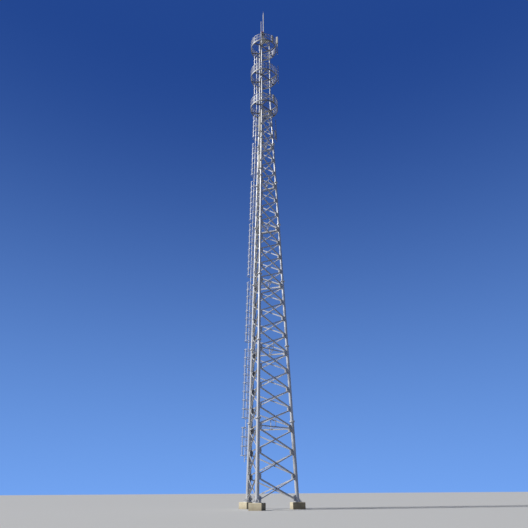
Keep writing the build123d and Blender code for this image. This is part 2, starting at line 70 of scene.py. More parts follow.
def put(tree, kind, links=None, values=None, **settings):
    """Adds a node, with its settings, its plain values and what feeds its sockets."""
    made = tree.nodes.new(kind)
    for setting, value in settings.items():
        setattr(made, setting, value)
    for socket, value in (values or {}).items():
        made.inputs[socket].default_value = value
    for socket, source in (links or {}).items():
        tree.links.new(source, made.inputs[socket])
    return made


def place_effect(tree, group, links=None, values=None):
    return put(tree, "ShaderNodeGroup", links, values, node_tree=group)


def start_finish(name, roughness, metallic=0.0):
    """A material, its tree, its surface shader and the place on the object."""
    made = bpy.data.materials.new(name)
    made.use_nodes = True
    tree = made.node_tree
    surface = tree.nodes["Principled BSDF"]
    surface.inputs["Roughness"].default_value = roughness
    surface.inputs["Metallic"].default_value = metallic
    spot = put(tree, "ShaderNodeTexCoord").outputs["Object"]
    return made, tree, surface, spot


def dress(node, material):
    """Gives its finish to a piece that comes from the frame as it is."""
    nodes[node].data.materials.clear()
    nodes[node].data.materials.append(material)


# mottling: broad and fine clouds of one colour in another, with a height for the bumps
mottling, mottling_in, mottling_out = effect(
    "mottling",
    [
        ("Vector", "NodeSocketVector", None),
        ("Broad", "NodeSocketFloat", 3.0),
        ("Fine", "NodeSocketFloat", 60.0),
        ("Pale", "NodeSocketColor", (0.8, 0.8, 0.8, 1)),
        ("Dull", "NodeSocketColor", (0.5, 0.5, 0.5, 1)),
    ],
    [("Color", "NodeSocketColor"), ("Height", "NodeSocketFloat"), ("Mask", "NodeSocketFloat")],
)
broad_cloud = put(
    mottling,
    "ShaderNodeTexNoise",
    {"Vector": mottling_in.outputs["Vector"], "Scale": mottling_in.outputs["Broad"]},
    {"Detail": 5.0, "Roughness": 0.6},
)
fine_cloud = put(
    mottling,
    "ShaderNodeTexNoise",
    {"Vector": mottling_in.outputs["Vector"], "Scale": mottling_in.outputs["Fine"]},
    {"Detail": 4.0, "Roughness": 0.65},
)
fine_share = put(
    mottling, "ShaderNodeMath", {0: fine_cloud.outputs["Fac"]}, {1: 0.4}, operation="MULTIPLY"
)
cloud_sum = put(
    mottling,
    "ShaderNodeMath",
    {0: broad_cloud.outputs["Fac"], 1: fine_share.outputs[0]},
    operation="ADD",
)
cloud_mask = put(
    mottling,
    "ShaderNodeMapRange",
    {"Value": cloud_sum.outputs[0]},
    {"From Min": 0.5, "From Max": 0.9, "To Min": 0.0, "To Max": 1.0},
)
cloud_colour = put(
    mottling,
    "ShaderNodeMix",
    {
        0: cloud_mask.outputs[0],
        6: mottling_in.outputs["Dull"],
        7: mottling_in.outputs["Pale"],
    },
    data_type="RGBA",
)
mottling.links.new(cloud_colour.outputs[2], mottling_out.inputs["Color"])
mottling.links.new(fine_cloud.outputs["Fac"], mottling_out.inputs["Height"])
mottling.links.new(cloud_mask.outputs[0], mottling_out.inputs["Mask"])

# stains: a mask of narrow streaks that run down the surface
stains, stains_in, stains_out = effect(
    "stains",
    [("Vector", "NodeSocketVector", None), ("Amount", "NodeSocketFloat", 0.5)],
    [("Mask", "NodeSocketFloat")],
)
drawn_down = put(
    stains,
    "ShaderNodeMapping",
    {"Vector": stains_in.outputs["Vector"]},
    {"Scale": (30.0, 30.0, 1.6)},
)
streaks = put(
    stains,
    "ShaderNodeTexNoise",
    {"Vector": drawn_down.outputs[0]},
    {"Scale": 1.0, "Detail": 4.0, "Roughness": 0.6},
)
streak_mask = put(
    stains,
    "ShaderNodeMapRange",
    {"Value": streaks.outputs["Fac"]},
    {"From Min": 0.5, "From Max": 0.75, "To Min": 0.0, "To Max": 1.0},
)
streak_share = put(
    stains,
    "ShaderNodeMath",
    {0: streak_mask.outputs[0], 1: stains_in.outputs["Amount"]},
    operation="MULTIPLY",
)
stains.links.new(streak_share.outputs[0], stains_out.inputs["Mask"])

concrete, tree, surface, spot = start_finish("cast_concrete", 0.88)
cast = place_effect(
    tree,
    mottling,
    {"Vector": spot},
    {"Broad": 5.0, "Fine": 90.0, "Pale": (0.88, 0.81, 0.62, 1), "Dull": (0.68, 0.61, 0.45, 1)},
)
height_on_block = put(tree, "ShaderNodeSeparateXYZ", {0: spot})
splash = put(
    tree,
    "ShaderNodeMapRange",
    {"Value": height_on_block.outputs["Z"]},
    {"From Min": 0.0, "From Max": 0.12, "To Min": 0.55, "To Max": 0.0},
)
soiled = put(
    tree,
    "ShaderNodeMix",
    {0: splash.outputs[0], 6: cast.outputs["Color"]},
    {7: (0.34, 0.29, 0.21, 1)},
    data_type="RGBA",
)
tree.links.new(soiled.outputs[2], surface.inputs["Base Color"])
pits = put(
    tree, "ShaderNodeTexVoronoi", {"Vector": spot}, {"Scale": 120.0}, feature="SMOOTH_F1"
)
rough_height = put(
    tree,
    "ShaderNodeMath",
    {0: cast.outputs["Height"], 1: pits.outputs["Distance"]},
    operation="ADD",
)
cast_bump = put(
    tree,
    "ShaderNodeBump",
    {"Height": rough_height.outputs[0]},
    {"Strength": 0.5, "Distance": 0.004},
)
tree.links.new(cast_bump.outputs[0], surface.inputs["Normal"])
dress("footings", concrete)

# Base flanges: round steel plates on the pedestals, held down by eight anchor bolts, with upright
# ribs welded between plate and tube. Like all the steelwork they are dipped in hot zinc.
s = 0.0005  # metres in this half-size model for each millimetre of the real tower
base_reach = s * 1952
lean = 0.0418
taper_top = s * 33000
shaft_reach = base_reach - lean * taper_top
pedestal_height = s * 400
leg_tilt = math.atan(lean)
axis_foot = Vector((0, base_reach - lean * pedestal_height, 0))
upwards = Vector((0, 0, 1))
leg_turns = (-90, 30, 150)
base_plate_radius = s * 280
base_plate_thick = s * 30
base_plate_round = s * 4
rib_height = s * 180
rib_thick = s * 14
rib_sunk = s * 4
rib_inset = s * 26
rib_flat = s * 20
rib_slope = 0.72  # the share of its height that a rib loses at its outer end
anchor_count = 8
anchor_circle = s * 215
washer_radius = s * 32
washer_thick = s * 5
anchor_nut = (s * 46, s * 24, s * 34)  # across the flats, height, and the thread that stands out


def zinc(name, pale, dull, roughness):
    """Weathered zinc on steel: cloudy grey with fine crystals and darker streaks of dirt."""
    made, tree, surface, spot = start_finish(name, roughness, 0.35)
    coat = place_effect(
        tree,
        mottling,
        {"Vector": spot},
        {"Broad": 2.5, "Fine": 45.0, "Pale": (*pale, 1), "Dull": (*dull, 1)},
    )
    crystals = put(tree, "ShaderNodeTexVoronoi", {"Vector": spot}, {"Scale": 110.0})
    flash = put(
        tree,
        "ShaderNodeMapRange",
        {"Value": crystals.outputs["Distance"]},
        {"From Min": 0.0, "From Max": 0.8, "To Min": 0.0, "To Max": 0.16},
    )
    crystalline = put(
        tree,
        "ShaderNodeMix",
        {0: flash.outputs[0], 6: coat.outputs["Color"]},
        {7: (0.85, 0.87, 0.90, 1)},
        data_type="RGBA",
    )
    dirt = place_effect(tree, stains, {"Vector": spot}, {"Amount": 0.35})
    stained = put(
        tree,
        "ShaderNodeMix",
        {0: dirt.outputs["Mask"], 6: crystalline.outputs[2]},
        {7: (0.33, 0.31, 0.28, 1)},
        data_type="RGBA",
    )
    tree.links.new(stained.outputs[2], surface.inputs["Base Color"])
    dulled = put(
        tree,
        "ShaderNodeMapRange",
        {"Value": coat.outputs["Mask"]},
        {"To Min": roughness + 0.1, "To Max": roughness - 0.08},
    )
    tree.links.new(dulled.outputs[0], surface.inputs["Roughness"])
    bump = put(
        tree,
        "ShaderNodeBump",
        {"Height": coat.outputs["Height"]},
        {"Strength": 0.25, "Distance": 0.0015},
    )
    tree.links.new(bump.outputs[0], surface.inputs["Normal"])
    return made


def heading(turn):
    """The level direction at this many degrees from the x axis."""
    return Vector((math.cos(math.radians(turn)), math.sin(math.radians(turn)), 0))


def standing(origin, x_dir, z_dir):
    """A place with its own x and z, for what is built along them."""
    turned = Matrix((x_dir, z_dir.cross(x_dir), z_dir)).transposed().to_4x4()
    turned.translation = origin
    return turned


def rod(bm, place, x, y, low, high, radius, sides):
    """Adds a closed round bar that runs up the place's z."""
    middle = place @ Matrix.Translation((x, y, (low + high) / 2))
    made = bmesh.ops.create_cone(
        bm,
        cap_ends=True,
        segments=sides,
        radius1=radius,
        radius2=radius,
        depth=high - low,
        matrix=middle,
    )
    return made["verts"]


def block(bm, place, low, high):
    """Adds a square-edged bar or plate between two corners of a place."""
    low, high = Vector(low), Vector(high)
    size = high - low
    middle = place @ Matrix.Translation((low + high) / 2) @ Matrix.Diagonal((*size, 1))
    return bmesh.ops.create_cube(bm, size=1, matrix=middle)["verts"]


def soften(bm, verts, width, sharper_than=50):
    """Bevels the hard edges of what was just added."""
    edges = {edge for vert in verts for edge in vert.link_edges}
    hard = [e for e in edges if e.is_manifold and e.calc_face_angle() > math.radians(sharper_than)]
    bmesh.ops.bevel(
        bm, geom=hard, offset=width, segments=2, profile=0.5, material=-1, affect="EDGES"
    )


def bolt(bm, place, x, y, z, across, height, stub=0.0):
    """Adds a six-sided head or nut on a face, with the thread's end standing out of it."""
    rod(bm, place, x, y, z, z + height, across / math.sqrt(3), 6)
    if stub:
        rod(bm, place, x, y, z + height, z + height + stub, across * 0.3, 8)


def keep(bm, name, material, slot, *stands_for):
    """Makes the finished piece, which rides on the tower and stands for the nodes named."""
    bmesh.ops.recalc_face_normals(bm, faces=bm.faces)
    mesh = bpy.data.meshes.new(name)
    bm.to_mesh(mesh)
    bm.free()
    mesh.shade_smooth()
    mesh.set_sharp_from_angle(angle=math.radians(40))
    mesh.materials.append(material)
    piece = bpy.data.objects.new(name, mesh)
    bpy.context.scene.collection.objects.link(piece)
    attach(piece, "root")
    if stands_for:
        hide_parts(*stands_for)
    return piece


def reach(z):
    """How far a leg's axis stands from the tower's axis at this height."""
    return base_reach - lean * min(z, taper_top)


def up_leg(z):
    """How far up a leaning leg this height comes."""
    return z / math.cos(leg_tilt)


legs = [
    standing(
        axis_foot + heading(turn) * base_reach,
        heading(turn + 90),
        heading(turn) * -math.sin(leg_tilt) + Vector((0, 0, math.cos(leg_tilt))),
    )
    for turn in leg_turns
]
tube_sizes = [s * size for size in (245, 219, 203, 180, 168, 152, 133)]
leg_zinc = zinc("leg_zinc", (0.80, 0.81, 0.82), (0.60, 0.61, 0.63), 0.5)
base_top = pedestal_height + base_plate_thick
base = bmesh.new()
for turn in leg_turns:
    spot = axis_foot + heading(turn) * (base_reach - lean * base_top)
    foot = standing(spot, heading(turn + 90), upwards)
    plate = rod(base, foot, 0, 0, pedestal_height, base_top, base_plate_radius, 64)
    soften(base, plate, base_plate_round)
    inner = tube_sizes[0] / 2
    for k in range(anchor_count):
        rib_place = foot @ Matrix.Rotation(math.radians(360 / anchor_count * k), 4, "Z")
        rib = block(
            base,
            rib_place,
            (inner - rib_sunk, -rib_thick / 2, base_top - rib_sunk / 2),
            (base_plate_radius - rib_inset, rib_thick / 2, base_top + rib_height),
        )
        back_to_rib = rib_place.inverted()
        lowered = [
            vert
            for vert in rib
            if (back_to_rib @ vert.co).x > inner + rib_flat
            and (back_to_rib @ vert.co).z > base_top + rib_flat
        ]
        bmesh.ops.translate(base, vec=(0, 0, -rib_height * rib_slope), verts=lowered)
        anchor = foot @ Matrix.Rotation(math.radians(360 / anchor_count * (k + 0.5)), 4, "Z")
        rod(base, anchor, anchor_circle, 0, base_top, base_top + washer_thick, washer_radius, 16)
        bolt(base, anchor, anchor_circle, 0, base_top + washer_thick, *anchor_nut)
keep(base, "base_plates", leg_zinc, "galvanised_steel", "base_flanges")

# Leg tubes: seven lengths of round steel tube up each leaning leg, thinner towards the top. Each
# length ends in welded round flanges, and the flange pairs are drawn together by rings of bolts.
flange_heights = [s * z for z in (5250, 10400, 15400, 20300, 24300, 28250)]
flange_thick = s * 34
flange_lip = s * 66
flange_round = s * 3
weld_size = s * 12
section_ends = [base_top] + flange_heights + [taper_top]


def tube_radius(z):
    """The radius of a leg's tube at this height."""
    for top, size in zip(flange_heights, tube_sizes):
        if z < top:
            return size / 2
    return tube_sizes[-1] / 2


def collar(bm, place, low, high, inner):
    """Adds the small fillet of weld round a tube where it meets a plate."""
    middle = place @ Matrix.Translation((0, 0, (low + high) / 2))
    bmesh.ops.create_cone(
        bm,
        cap_ends=True,
        segments=48,
        radius1=inner + abs(high - low),
        radius2=inner,
        depth=abs(high - low),
        matrix=middle @ (Matrix.Rotation(math.pi, 4, "X") if high < low else Matrix.Identity(4)),
    )


for number, size in enumerate(tube_sizes):
    low, high = section_ends[number], section_ends[number + 1]
    tubes = bmesh.new()
    for leg in legs:
        start, end = up_leg(low), up_leg(high)
        if number == 0:
            collar(tubes, leg, start, start + weld_size, size / 2)
        else:
            face = start + flange_thick
            disc = rod(tubes, leg, 0, 0, start, face, size / 2 + flange_lip, 64)
            soften(tubes, disc, flange_round)
            collar(tubes, leg, face, face + weld_size, size / 2)
        if number < len(tube_sizes) - 1:
            face = end - flange_thick
            disc = rod(tubes, leg, 0, 0, face, end, size / 2 + flange_lip, 64)
            soften(tubes, disc, flange_round)
            collar(tubes, leg, face, face - weld_size, size / 2)
        rod(tubes, leg, 0, 0, start, end, size / 2, 48)
    keep(tubes, f"leg_tubes_{number + 1}", leg_zinc, "galvanised_steel", f"legs_{number + 1}")

bolt_zinc = zinc("bolt_zinc", (0.60, 0.61, 0.62), (0.42, 0.42, 0.42), 0.45)
bolt_counts = (12, 12, 10, 10, 8, 8)
bolt_circle_off = s * 42  # from the tube's face to the middle of the bolts
flange_nut = (s * 34, s * 18, s * 14)
flange_head = (s * 34, s * 14)
joints = bmesh.new()
for joint, count in enumerate(bolt_counts):
    circle = tube_sizes[joint + 1] / 2 + bolt_circle_off
    height = up_leg(flange_heights[joint])
    head_low = height - flange_thick - flange_head[1]
    for leg in legs:
        for k in range(count):
            ring_place = leg @ Matrix.Rotation(2 * math.pi * (k + 0.5) / count, 4, "Z")
            bolt(joints, ring_place, circle, 0, height + flange_thick, *flange_nut)
            bolt(joints, ring_place, circle, 0, head_low, *flange_head)
keep(joints, "flange_bolts", bolt_zinc, "galvanised_steel")

# Shaft tubes: above the leaning legs three upright tubes carry the platforms. Each stands on its
# own small flange, bolted to the head of the leg below.
shaft_top = s * 40600
shaft_radius = s * 60.5
shaft_lip = s * 46
shaft_weld = s * 10
shaft_seat = taper_top + flange_thick
posts = [
    standing(axis_foot + heading(turn) * shaft_reach, heading(turn + 90), upwards)
    for turn in leg_turns
]
shaft = bmesh.new()
for post in posts:
    rod(shaft, post, 0, 0, taper_top, shaft_top, shaft_radius, 40)
    disc = rod(shaft, post, 0, 0, taper_top, shaft_seat, shaft_radius + shaft_lip, 48)
    soften(shaft, disc, flange_round)
    collar(shaft, post, shaft_seat, shaft_seat + shaft_weld, shaft_radius)
keep(shaft, "upright_tubes", leg_zinc, "galvanised_steel", "shaft_tubes")

# Bracing of the three sides: crossed angle bars, level angles and hangers, bolted to plates that
# are welded on the tubes. The bars come from the frame as they are and get their bolts here.
levels = [s * z for z in (400, 4800, 9900, 15000, 19850, 23850, 27850, 31600)]
panels = (3, 4, 4, 4, 3, 3, 3)
side_tilt = math.atan(lean / 2)
plate_half = s * 6
brace_thick = s * 8
foot_gap = s * 110
level_gap = s * 110
node_gap = s * 60
foot_clear = s * 54
brace_clear = s * 16
level_clear = s * 30
brace_half = s * 40
gauge = s * -8  # from a bar's middle to its row of holes
hole_first = s * 20
hole_second = s * 46
level_holes = (s * 35, s * 95)
middle_hole = s * 90
brace_head = (s * 30, s * 13)
brace_nut = (s * 30, s * 16, s * 8)
brace_zinc = zinc("brace_zinc", (0.78, 0.79, 0.81), (0.57, 0.58, 0.60), 0.58)
for name in ("side_front_right", "side_rear", "side_left", "plan_frames", "shaft_bars"):
    dress(name, brace_zinc)


def on_leg(z, hand):
    """A leg's axis in the plane of a side, on its right (1) or left (-1), at this height."""
    return Vector((hand * math.sqrt(3) / 2 * reach(z), z / math.cos(side_tilt)))


def bar_ends(start, end, low_clear, high_clear):
    """Where a bar starts and ends, with its corners this far from the legs' axes."""
    run = (end - start).normalized()
    corner = brace_half * abs(run.y)
    low_cut, high_cut = (low_clear + corner) / abs(run.x), (high_clear + corner) / abs(run.x)
    return start + run * low_cut, end - run * high_cut, run


rising, falling, crossings = [], [], []
for number, count in enumerate(panels):
    low, high = levels[number], levels[number + 1]
    for step in range(count):
        lowest = number == 0 and step == 0
        lower_gap = foot_gap if lowest else level_gap if step == 0 else node_gap
        upper_gap = level_gap if step == count - 1 else node_gap
        z0 = low + (high - low) * step / count + lower_gap
        z1 = low + (high - low) * (step + 1) / count - upper_gap
        clear0 = tube_radius(z0) + (foot_clear if lowest else brace_clear)
        clear1 = tube_radius(z1) + brace_clear
        rising.append(bar_ends(on_leg(z0, -1), on_leg(z1, 1), clear0, clear1))
        falling.append(bar_ends(on_leg(z0, 1), on_leg(z1, -1), clear0, clear1))
        lower, upper = on_leg(z0, 1), on_leg(z1, 1)
        share = lower.x / (lower.x + upper.x)
        crossings.append(Vector((0, lower.y + (upper.y - lower.y) * share)))

bar_face = plate_half + brace_thick
fastenings = bmesh.new()
for turn in (-30, 90, 210):
    outward = heading(turn) * math.cos(side_tilt) + Vector((0, 0, math.sin(side_tilt)))
    side = standing(axis_foot + heading(turn) * base_reach / 2, heading(turn + 90), outward)
    back = side @ Matrix.Rotation(math.pi, 4, "Y")
    for bars, front, far, sign in ((rising, side, back, 1), (falling, back, side, -1)):
        for start, end, run in bars:
            across = Vector((-run.y, run.x)) * gauge
            holes = (start + run * hole_first, start + run * hole_second)
            holes += (end - run * hole_first, end - run * hole_second)
            for hole in holes:
                spot = hole + across
                bolt(fastenings, front, sign * spot.x, spot.y, bar_face, *brace_head)
                bolt(fastenings, far, -sign * spot.x, spot.y, plate_half, *brace_nut)
    for spot in crossings:
        bolt(fastenings, side, spot.x, spot.y, bar_face, *brace_head)
        bolt(fastenings, back, -spot.x, spot.y, bar_face, *brace_nut)
    for z in levels[1:]:
        clear = tube_radius(z) + level_clear
        start, end, run = bar_ends(on_leg(z, -1), on_leg(z, 1), clear, clear)
        row = [start.x + hole for hole in level_holes] + [-middle_hole, middle_hole]
        row += [end.x - hole for hole in reversed(level_holes)]
        for x in row:
            bolt(fastenings, side, x, start.y - gauge, bar_face, *brace_head)
            bolt(fastenings, back, -x, start.y - gauge, plate_half, *brace_nut)
keep(fastenings, "bracing_bolts", bolt_zinc, "galvanised_steel")

# Ladder: two flat stringers with welded rungs, standing off the left leg on short brackets, with
# tabs that carry the hoops of the cage. It comes from the frame as it is.
ladder_zinc = zinc("ladder_zinc", (0.64, 0.65, 0.66), (0.48, 0.49, 0.50), 0.55)
dress("ladder", ladder_zinc)

# Safety cage: hoops of flat bar, round at the back and straight at the sides, bolted to five
# upright straps. Each length hangs on the ladder's tabs, with a gap at every pair of flanges.
ladder_off = s * 220
cage_off = s * 360
cage_radius = s * 360
strap_width = s * 40
strap_thick = s * 6
cage_spans = (
    (3200, 5000, 4),
    (5650, 10420, 9),
    (11080, 15650, 9),
    (16280, 20720, 9),
    (21150, 24750, 8),
    (25500, 28650, 7),
    (29450, 31650, 5),
    (34300, 35450, 3),
    (38000, 39150, 3),
)
hoop_section = ((0, 0), (0, strap_width), (strap_thick, strap_width), (strap_thick, 0))
hoop_bolt = (s * 20, s * 9)
hoop_bolt_sunk = s * 1
along_x = Matrix.Rotation(math.pi / 2, 4, "Y")


def points_at(bm, place, outline):
    """Adds a point for each pair of a distance out from the place's z and a height up it."""
    return [
        bmesh.ops.create_vert(bm, co=place @ Vector((distance, 0, height)))["vert"][0]
        for distance, height in outline
    ]


for number, (low, high, count) in enumerate(cage_spans):
    low, high = s * low, s * high
    place = legs[2] if low < taper_top else posts[2]
    start, end = (up_leg(low), up_leg(high)) if low < taper_top else (low, high)
    cage = bmesh.new()
    centre = place @ Matrix.Translation((0, -cage_off, 0))
    heights = [start + (end - start) * step / (count - 1) for step in range(count)]
    for height in heights:
        hoop = centre @ Matrix.Translation((0, 0, height - strap_width / 2))
        first = hoop @ Matrix.Rotation(math.pi, 4, "Z")
        section = [(cage_radius - inset, rise) for inset, rise in hoop_section]
        profile = cage.faces.new(points_at(cage, first, section))
        bmesh.ops.spin(
            cage,
            geom=[profile],
            cent=hoop.translation,
            axis=hoop.to_3x3() @ upwards,
            angle=math.pi,
            steps=28,
            use_merge=False,
            use_duplicate=False,
        )
        for hand in (-1, 1):
            block(
                cage,
                hoop @ Matrix.Translation((hand * (cage_radius - strap_thick / 2), 0, 0)),
                (-strap_thick / 2, 0, 0),
                (strap_thick / 2, cage_off - ladder_off, strap_width),
            )
    for turn in (-180, -135, -90, -45, 0):
        strap = centre @ Matrix.Rotation(math.radians(turn), 4, "Z")
        inner = cage_radius - strap_thick * 2
        block(
            cage,
            strap,
            (inner, -strap_width / 2, start - strap_width / 2),
            (inner + strap_thick, strap_width / 2, end + strap_width / 2),
        )
        for height in heights:
            outside = strap @ Matrix.Translation((cage_radius, 0, height)) @ along_x
            bolt(cage, outside, 0, 0, -hoop_bolt_sunk, *hoop_bolt)
    keep(cage, f"cage_hoops_{number + 1}", ladder_zinc, "galvanised_steel", f"cage_{number + 1}")

# Platforms: a rolled steel channel bent to a ring, carried on two arms from each leg and tied by
# bars from leg to leg. Thin rods laid over the arms make an open floor, with a gap at the ladder.
deck_heights = [s * z for z in (32000, 35700, 39400)]
deck_radius = s * 1220
deck_width = s * 60
deck_depth = s * 80
channel_wall = s * 8
ring_steps = 96
# The ring's zinc is darkened far below bare zinc: painted shade for its underside seen from below.
deck_zinc_painted_shade = zinc("deck_zinc_painted_shade", (0.30, 0.31, 0.32), (0.19, 0.20, 0.21), 0.6)
# The arms' and floor rods' zinc is near black: painted shade for their unlit undersides seen from
# below.
arm_zinc_painted_shade = zinc("arm_zinc_painted_shade", (0.22, 0.22, 0.22), (0.13, 0.13, 0.13), 0.7)
floor_inset = s * 30
floor_rod_radius = s * 6
floor_rod_pitch = s * 110
floor_rods_a_side = 10
tie_rods = (-s * 800, s * 60, s * 820)
hatch_half = s * 420
hatch_reach = s * 310
tube_band = s * 95  # how near to a tube's middle a rod runs into the tube
tube_gap = s * 110
along_y = Matrix.Rotation(-math.pi / 2, 4, "X")
towards_ladder = standing(axis_foot, heading(150), upwards)


def bent_ring(bm, outline, height):
    """Bends a closed section, given as distances from the axis and heights, to a full ring."""
    points = [
        bmesh.ops.create_vert(bm, co=axis_foot + Vector((distance, 0, height + rise)))["vert"][0]
        for distance, rise in outline
    ]
    edges = [bm.edges.new(pair) for pair in zip(points, points[1:] + points[:1])]
    bmesh.ops.spin(
        bm,
        geom=points + edges,
        cent=axis_foot,
        axis=(0, 0, 1),
        angle=2 * math.pi,
        steps=ring_steps,
        use_merge=True,
        use_duplicate=False,
    )


for number, z in enumerate(deck_heights):
    dress(f"deck_arms_{number + 1}", arm_zinc_painted_shade)
    ring = bmesh.new()
    ring_inner, web = deck_radius - deck_width, deck_radius - channel_wall
    bent_ring(
        ring,
        (
            (ring_inner, 0),
            (deck_radius, 0),
            (deck_radius, -deck_depth),
            (ring_inner, -deck_depth),
            (ring_inner, channel_wall - deck_depth),
            (web, channel_wall - deck_depth),
            (web, -channel_wall),
            (ring_inner, -channel_wall),
        ),
        z,
    )
    keep(ring, f"platform_ring_{number + 1}", deck_zinc_painted_shade, "galvanised_steel", f"deck_{number + 1}")

    out = reach(z)
    inner = deck_radius - floor_inset
    grate = bmesh.new()
    for k in range(-floor_rods_a_side, floor_rods_a_side + 1):
        v = floor_rod_pitch * k
        far = math.sqrt(max(inner**2 - v**2, 0))
        spans = [(-far, far)]
        if abs(v) < hatch_half:
            spans = [(-far, out - hatch_reach)]
        if abs(abs(v) - math.sqrt(3) / 2 * out) < tube_band:
            spans = [(-far, -out / 2 - tube_gap), (-out / 2 + tube_gap, far)]
        for a, b in spans:
            place = towards_ladder @ Matrix.Translation((0, v, z + floor_rod_radius)) @ along_x
            rod(grate, place, 0, 0, a, b, floor_rod_radius, 8)
    for u in tie_rods:
        far = math.sqrt(inner**2 - u**2)
        spans = [(-far, far)] if u < out else [(-far, -hatch_half), (hatch_half, far)]
        for a, b in spans:
            place = towards_ladder @ Matrix.Translation((u, 0, z + 3 * floor_rod_radius)) @ along_y
            rod(grate, place, 0, 0, a, b, floor_rod_radius, 8)
    keep(grate, f"platform_floor_{number + 1}", arm_zinc_painted_shade, "galvanised_steel")

# Railings: a toe band, a middle band and a top band of bent flat steel on six square posts. Between
# them stand flat balusters, welded in and evenly spaced all the way round.
rail_outer = deck_radius - s * 5
rail_height = s * 780
rail_bar = s * 40
band_depth = rail_bar * 0.6
toe_height = s * 60
rail_bands = ((0, toe_height), (rail_height / 2, rail_bar), (rail_height - rail_bar, rail_bar))
post_count = 6
post_half = rail_bar / 2
post_round = s * 4
baluster_half = s * 14
baluster_thick = s * 8
baluster_low = s * 30
baluster_high = rail_height - s * 20
baluster_count = 42
rail_zinc = zinc("rail_zinc", (0.60, 0.61, 0.62), (0.44, 0.45, 0.46), 0.6)
for number, z in enumerate(deck_heights):
    rails = bmesh.new()
    for low, height in rail_bands:
        bent_ring(
            rails,
            (
                (rail_outer - band_depth, low),
                (rail_outer, low),
                (rail_outer, low + height),
                (rail_outer - band_depth, low + height),
            ),
            z,
        )
    for k in range(post_count):
        turn = 360 / post_count * k
        spot = axis_foot + heading(turn) * (rail_outer - band_depth)
        upright = standing(spot, heading(turn), upwards)
        post = block(
            rails, upright, (-post_half, -post_half, z), (post_half, post_half, z + rail_height)
        )
        soften(rails, post, post_round)
    keep(rails, f"rails_{number + 1}", rail_zinc, "galvanised_steel", f"railing_{number + 1}")

    balusters = bmesh.new()
    for k in range(baluster_count):
        turn = 360 / baluster_count * (k + 0.5)
        spot = axis_foot + heading(turn) * (rail_outer - band_depth / 2)
        block(
            balusters,
            standing(spot, heading(turn), upwards),
            (-baluster_thick / 2, -baluster_half, z + baluster_low),
            (baluster_thick / 2, baluster_half, z + baluster_high),
        )
    keep(balusters, f"balusters_{number + 1}", rail_zinc, "galvanised_steel")

# Feeder cables: a pair of black sheathed cables, clipped up the inside of the left leg on steel
# brackets. Their black is lifted to grey, partly by weathering and partly as a painted sheen.
sheath, tree, surface, spot = start_finish("cable_sheath", 0.55)
# the sheath's grey: part weathering, part painted sheen
weathered_grey_and_sheen = place_effect(
    tree,
    mottling,
    {"Vector": spot},
    {"Broad": 4.0, "Fine": 70.0, "Pale": (0.20, 0.20, 0.21, 1), "Dull": (0.09, 0.09, 0.10, 1)},
)
tree.links.new(weathered_grey_and_sheen.outputs["Color"], surface.inputs["Base Color"])
dress("feeder_cables", sheath)
dress("cable_brackets", bolt_zinc)

# Antenna poles: short lengths of round steel pipe. On the legs each hangs on two arms, welded to
# bands that are clamped round the tube; on the platforms two arms come straight off the ring.
leg_poles = (
    (0, 24500, 26100, (24850, 25700), 380),
    (0, 28300, 30200, (28800, 29700), 380),
    (1, 28550, 30950, (28800, 29700), 350),
)
pole_radius = s * 30
arm_half = s * 25
arm_depth = s * 60
arm_margin = s * 5
arm_bite = s * 6  # how far an arm runs into its band
band_wall = s * 25
band_round = s * 3
ear_middle = s * 14
ear_half = s * 16
ear_thick_half = s * 9
ear_margin = s * 8
deck_pole_reach = s * 1380
deck_pole_low = s * 350
deck_pole_high = s * 1900
deck_arm_drop = s * 80
deck_arm_bite = s * 12
pole_spot = axis_foot + heading(30) * deck_pole_reach
pole_place = standing(pole_spot, Vector((1, 0, 0)), upwards)
towards_poles = standing(axis_foot, heading(30), upwards)
poles = bmesh.new()
for leg_number, low, high, arms, out in leg_poles:
    leg = legs[leg_number]
    rod(poles, leg, 0, -s * out, up_leg(s * low), up_leg(s * high), pole_radius, 24)
    for z in arms:
        radius = tube_radius(s * z) + band_wall
        height = up_leg(s * z)
        band = rod(poles, leg, 0, 0, height, height + arm_depth, radius, 40)
        soften(poles, band, band_round)
        block(
            poles,
            leg,
            (-arm_half, -s * out, height + arm_margin),
            (arm_half, -radius + arm_bite, height + arm_depth - arm_margin),
        )
        for hand in (-1, 1):
            ear = hand * (radius + ear_middle)
            block(
                poles,
                leg,
                (ear - ear_half, -ear_thick_half, height + ear_margin),
                (ear + ear_half, ear_thick_half, height + arm_depth - ear_margin),
            )
for z in deck_heights[1:]:
    rod(poles, pole_place, 0, 0, z - deck_pole_low, z + deck_pole_high, pole_radius, 24)
    for height in (z - deck_arm_drop, z + rail_height - arm_depth):
        block(
            poles,
            towards_poles,
            (deck_radius - deck_arm_bite, -arm_half, height),
            (deck_pole_reach, arm_half, height + arm_depth),
        )
keep(poles, "antenna_pipes", bolt_zinc, "galvanised_steel", "antenna_poles")

# Panel antennas: pale plastic covers with rounded edges and a seam round each end cap, hung on the
# poles by two brackets each. Two slimmer covers lie against the railings.
cover, tree, surface, spot = start_finish("antenna_cover", 0.5)
chalky = place_effect(
    tree,
    mottling,
    {"Vector": spot},
    {"Broad": 4.0, "Fine": 120.0, "Pale": (0.84, 0.83, 0.79, 1), "Dull": (0.70, 0.69, 0.64, 1)},
)
run_off = place_effect(tree, stains, {"Vector": spot}, {"Amount": 0.25})
weathered = put(
    tree,
    "ShaderNodeMix",
    {0: run_off.outputs["Mask"], 6: chalky.outputs["Color"]},
    {7: (0.46, 0.43, 0.37, 1)},
    data_type="RGBA",
)
tree.links.new(weathered.outputs[2], surface.inputs["Base Color"])
cover_bump = put(
    tree,
    "ShaderNodeBump",
    {"Height": chalky.outputs["Height"]},
    {"Strength": 0.15, "Distance": 0.0008},
)
tree.links.new(cover_bump.outputs[0], surface.inputs["Normal"])
cover_round = s * 22
cap_seam = s * 30  # from a cover's end to the seam of its cap
seam_half = s * 4
seam_sunk = s * 1
seam_round = s * 3
bracket_half = s * 30
bracket_reach = s * 60
bracket_height = s * 60
bracket_low = s * 120
bracket_high = s * 180


